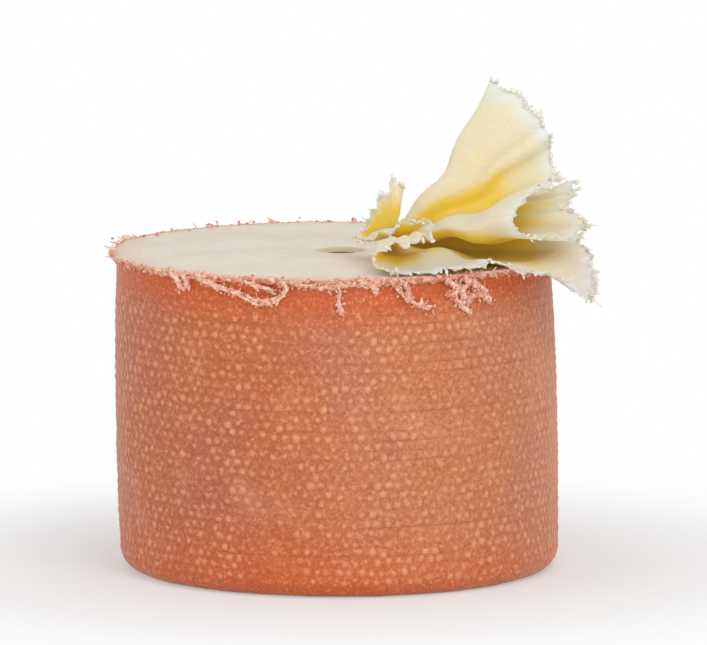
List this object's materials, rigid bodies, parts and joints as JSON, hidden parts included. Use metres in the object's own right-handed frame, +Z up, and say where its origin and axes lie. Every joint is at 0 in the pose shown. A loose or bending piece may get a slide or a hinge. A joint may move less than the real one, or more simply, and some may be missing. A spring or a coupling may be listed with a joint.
{
  "type": "tete de moine cheese",
  "caption": "Small drum-shaped washed-rind cheese, scraped on top round a spindle's hole, with a fresh ruffled rosette resting on it and over the rim.",
  "frame": {"origin": "on the axis of the spindle's hole, in the plane that the wheel stands on", "axes": "+Z up along the spindle's hole, +X towards the side where the rosette hangs over the rim, the shown side faces -Y"},
  "size_m": [0.1217, 0.1113, 0.1233],
  "materials": {
    "rind": "moist, fine-bumped washed rind, salmon to orange",
    "paste": "smooth, slightly translucent semi-hard cheese"
  },
  "bodies": {
    "root": {"wheel": "rind", "rosette": "paste"}
  },
  "joints": []
}
